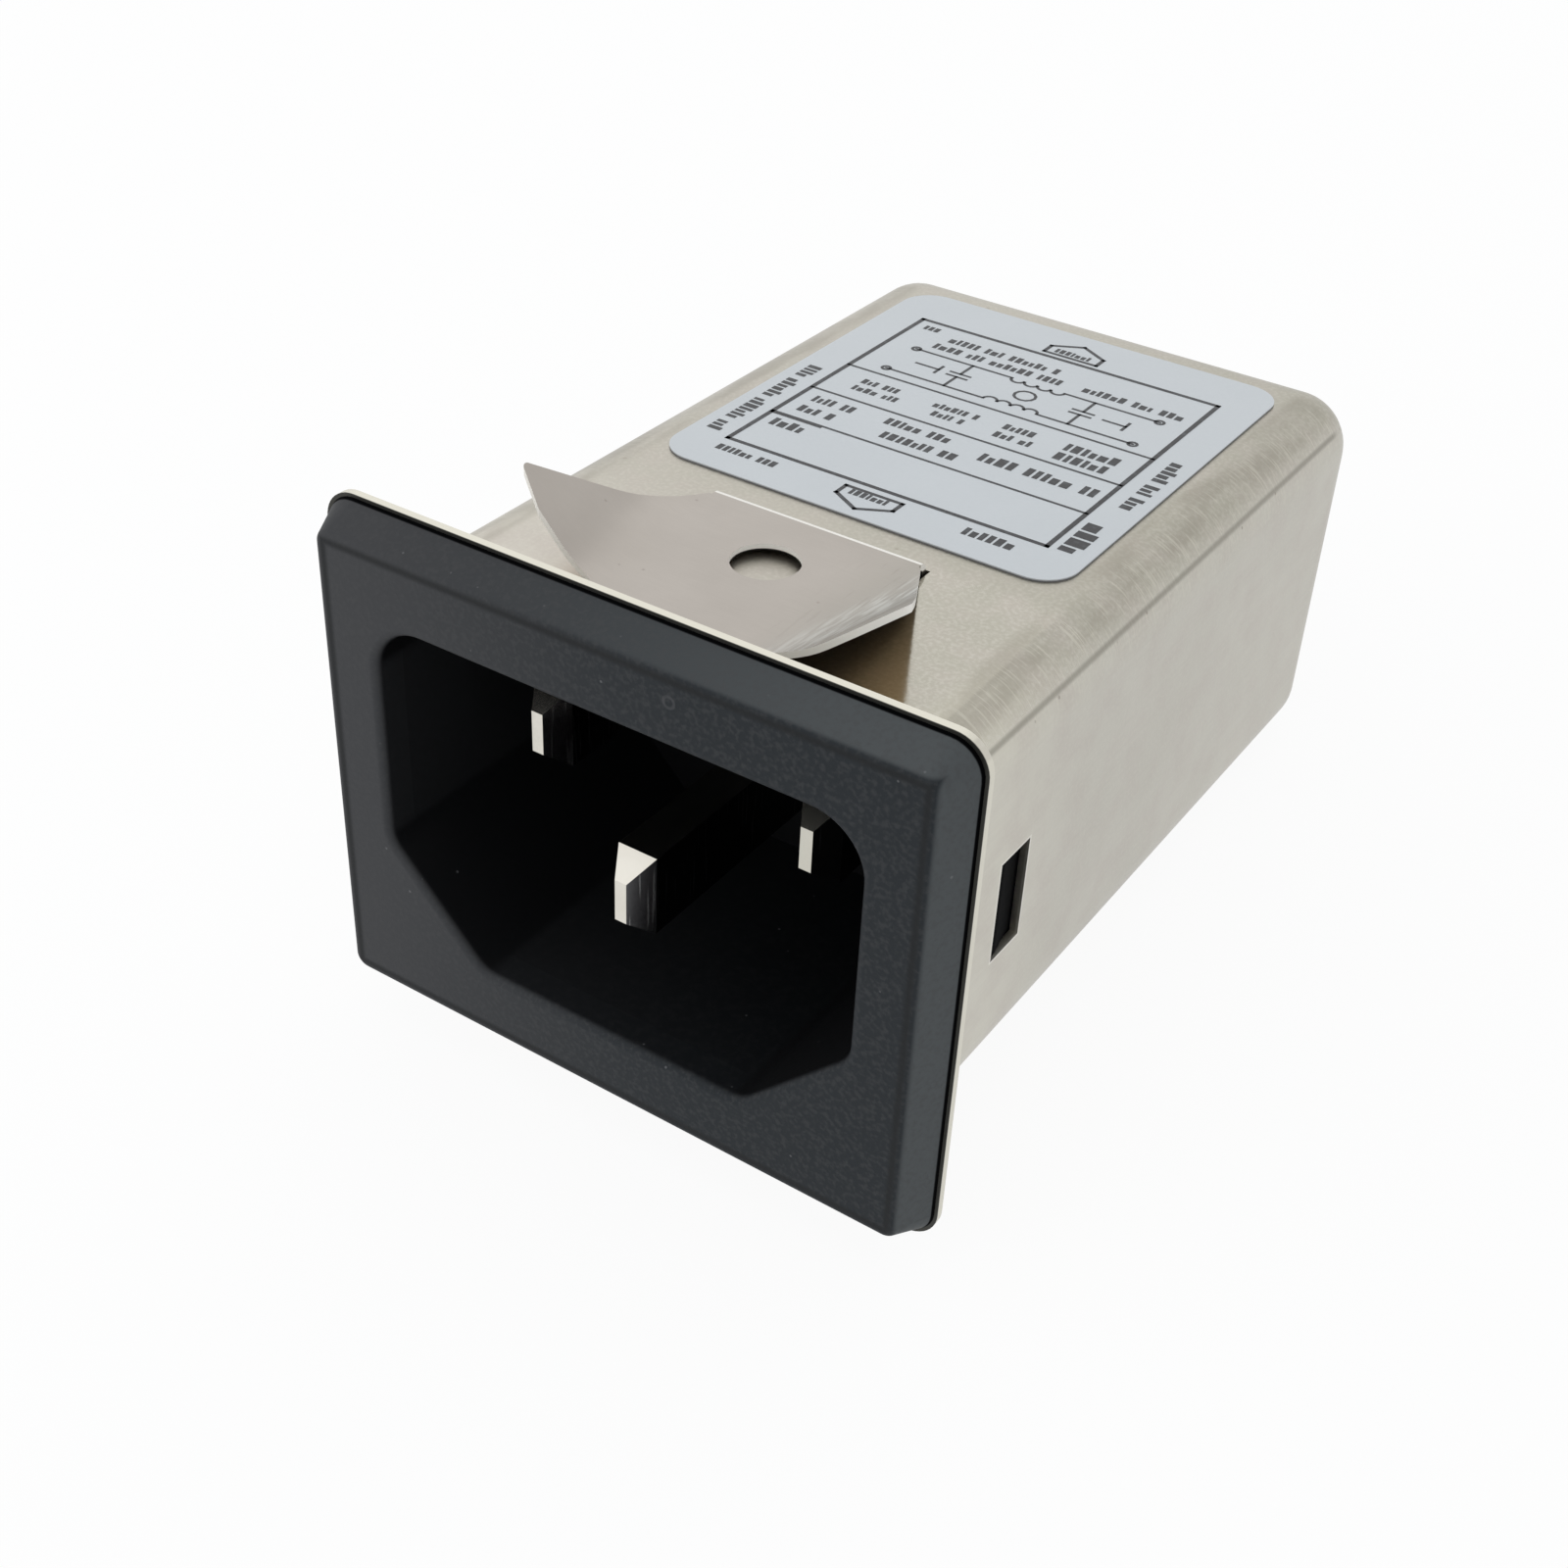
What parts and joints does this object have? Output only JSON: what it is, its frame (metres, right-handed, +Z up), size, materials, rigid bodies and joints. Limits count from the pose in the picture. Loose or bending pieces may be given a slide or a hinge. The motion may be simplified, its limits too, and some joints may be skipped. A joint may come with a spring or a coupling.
{
  "type": "power line filter",
  "caption": "Snap-in mains inlet with a built-in line filter: metal can, black bezel with a recessed three-pin socket, spring clips, rear blade tabs.",
  "frame": {"origin": "centre of the panel seat, on the rear face of the metal flange, on the axis of the can", "axes": "+Y runs from the socket into the equipment. Looking into the socket along +Y, +X is to the right and +Z is up, and the earth pin is towards -Z"},
  "size_m": [0.032, 0.0534, 0.0274],
  "materials": {
    "can_metal": "satin nickel-plated steel, drawn",
    "black_moulding": "fine spark texture",
    "pin_metal": "bright nickel plate on brass",
    "spring_metal": "satin stainless spring steel",
    "label_film": null,
    "board_laminate": "glass-fibre laminate, satin solder mask",
    "ferrite": "matt sintered ferrite",
    "magnet_wire": "enamelled copper, gloss",
    "insulation": "smooth moulded insulation",
    "capacitor_case": "smooth moulded case",
    "capacitor_coat": "dipped coating, gloss",
    "resistor_body": "lacquered",
    "terminal_metal": "bright tin plate",
    "liner_film": "thin translucent insulating film"
  },
  "bodies": {
    "root": {"shield_can": "can_metal", "inlet_housing": "black_moulding", "line_pin": "pin_metal", "neutral_pin": "pin_metal", "earth_pin": "pin_metal", "clip_top": "spring_metal", "clip_bottom": "spring_metal", "rating_label": "label_film", "circuit_board": "board_laminate", "choke_core": "ferrite", "choke_winding_line": "magnet_wire", "choke_winding_neutral": "magnet_wire", "choke_separator": "insulation", "x_capacitor": "capacitor_case", "y_capacitor_line": "capacitor_coat", "y_capacitor_neutral": "capacitor_coat", "bleed_resistor": "resistor_body", "line_tab": "terminal_metal", "earth_tab": "terminal_metal", "neutral_tab": "terminal_metal", "terminal_insulator": "insulation", "insulating_liner": "liner_film", "earth_strap": "terminal_metal"}
  },
  "joints": []
}
